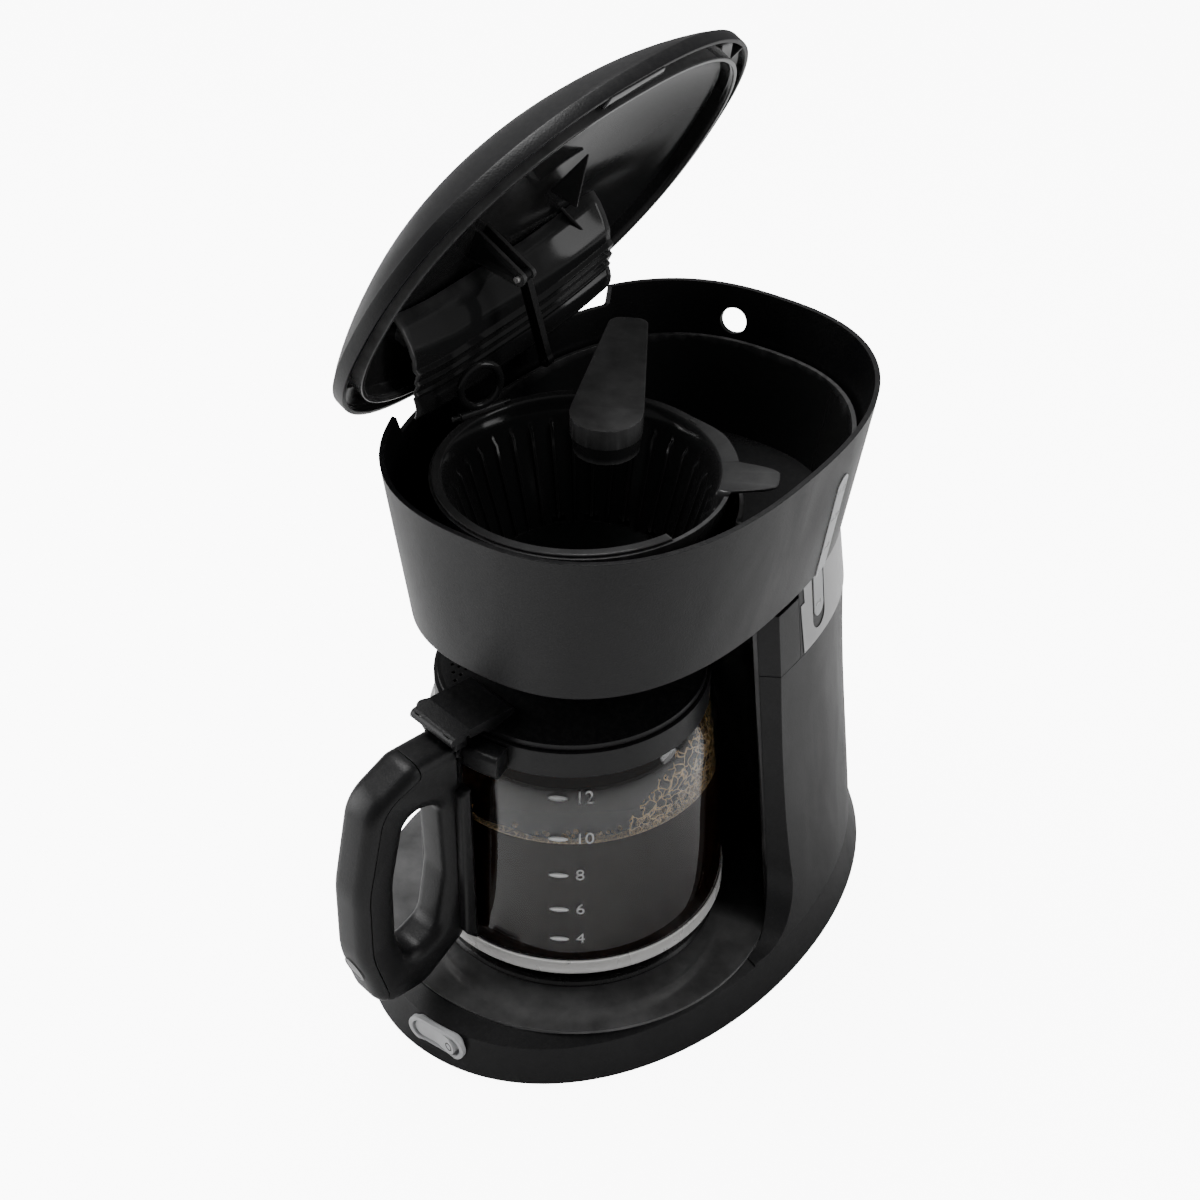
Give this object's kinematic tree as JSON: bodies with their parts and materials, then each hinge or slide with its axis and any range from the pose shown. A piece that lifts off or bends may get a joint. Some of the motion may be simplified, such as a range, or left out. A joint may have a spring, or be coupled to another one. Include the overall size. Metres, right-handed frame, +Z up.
{
  "type": "drip coffee maker",
  "caption": "Household drip coffee maker with an open lid, lift-out filter basket, water tank, hot plate, power switch and handled glass carafe.",
  "frame": {"origin": "on the counter, under the axis of the brew basket, in the plane of the feet", "axes": "+Z up, -Y to the front where the carafe slides out, +X to the right-hand side seen from the front"},
  "size_m": [0.2226, 0.3441, 0.4512],
  "materials": {
    "satin_black": "satin, fine moulded texture",
    "gloss_black": "gloss",
    "grey_plastic": "satin",
    "window_plastic": "frosted translucent",
    "inner_plastic": "matt",
    "glass": "clear",
    "steel": "brushed",
    "cast_metal": "cast",
    "hot_plate_paint": "non-stick coat",
    "silicone": "matt"
  },
  "bodies": {
    "root": {"base_screws": "steel", "base_shell": "satin_black", "bay_liner": "gloss_black", "bottom_plate": "inner_plastic", "brew_well": "gloss_black", "check_valve": "inner_plastic", "cold_water_hose": "silicone", "cord_gland": "silicone", "drip_seal": "silicone", "heater_block": "cast_metal", "heater_clamp": "steel", "hose_clamps": "steel", "hot_plate": "hot_plate_paint", "hot_plate_gasket": "silicone", "hot_water_tube": "silicone", "lid_hinge_pin": "steel", "pillar_caps": "satin_black", "rocker_pin": "steel", "rubber_feet": "silicone", "spout_socket": "gloss_black", "spring_cage": "gloss_black", "switch_bezel": "grey_plastic", "switch_body": "inner_plastic", "tank_feed_tube": "silicone", "terminal_block": "inner_plastic", "thermal_fuse": "silicone", "thermostat": "steel", "upper_housing": "satin_black", "water_tank": "gloss_black", "water_window": "window_plastic", "window_gasket": "silicone", "wire_leads": "silicone"},
    "lid": {"lid_shell": "satin_black", "lid_liner": "gloss_black", "stay_pin": "steel"},
    "stay": {"lid_stay": "satin_black"},
    "basket": {"filter_basket": "gloss_black"},
    "basket_ring": {"basket_ring": "gloss_black"},
    "arm": {"spout_arm": "gloss_black", "shower_plate": "gloss_black"},
    "drip_plunger": {"drip_plunger": "gloss_black", "drip_spring": "steel"},
    "carafe": {"carafe_glass": "glass", "steel_band": "steel", "carafe_collar": "satin_black", "carafe_handle": "satin_black", "handle_grip_panel": "satin_black", "handle_badge": "grey_plastic", "carafe_lid_pin": "steel"},
    "carafe_lid": {"carafe_lid": "satin_black"},
    "rocker": {"switch_rocker": "grey_plastic"}
  },
  "joints": [
    {"name": "lid_hinge", "type": "hinge", "parent": "root", "child": "lid", "pos_m": [-0.0893, 0.044, 0.286], "axis": [0, 1, 0], "range_deg": [0, 59.6]},
    {"name": "stay_fold", "type": "hinge", "parent": "lid", "child": "stay", "pos_m": [-0.06603, 0.047, 0.33298], "axis": [0, 1, 0], "range_deg": [0, 43]},
    {"name": "ring_fold", "type": "hinge", "parent": "basket", "child": "basket_ring", "pos_m": [-0.06306, 0.00866, 0.281], "axis": [0.342, 0.9397, 0], "range_deg": [0, 82]},
    {"name": "arm_swing", "type": "hinge", "parent": "root", "child": "arm", "pos_m": [-0.034, 0.084, 0.29], "axis": [0, 0, -1], "range_deg": [-70, 0]},
    {"name": "basket_lift", "type": "slide", "parent": "root", "child": "basket", "axis": [0, 0, 1], "range_m": [0, 0.005]},
    {"name": "drip_stop", "type": "slide", "parent": "root", "child": "drip_plunger", "axis": [0, 0, 1], "range_m": [0, 0.004], "stiffness_N_per_m": 150, "springref_m": -0.002, "deforming": ["drip_spring"]},
    {"name": "carafe_slide", "type": "slide", "parent": "root", "child": "carafe", "axis": [0, -1, 0], "range_m": [0, 0.2]},
    {"name": "carafe_lid_flip", "type": "hinge", "parent": "carafe", "child": "carafe_lid", "pos_m": [-0.01608, -0.08177, 0.178], "axis": [0.977, -0.213, 0], "range_deg": [0, 7]},
    {"name": "power_switch", "type": "hinge", "parent": "root", "child": "rocker", "pos_m": [0, -0.1151, 0.0145], "axis": [0, 0, 1], "range_deg": [0, 12]}
  ],
  "couplings": [
    {"joint": "stay_fold", "follows": "lid_hinge", "ratio": 0.7164},
    {"joint": "ring_fold", "follows": "lid_hinge", "ratio": 1.34}
  ]
}
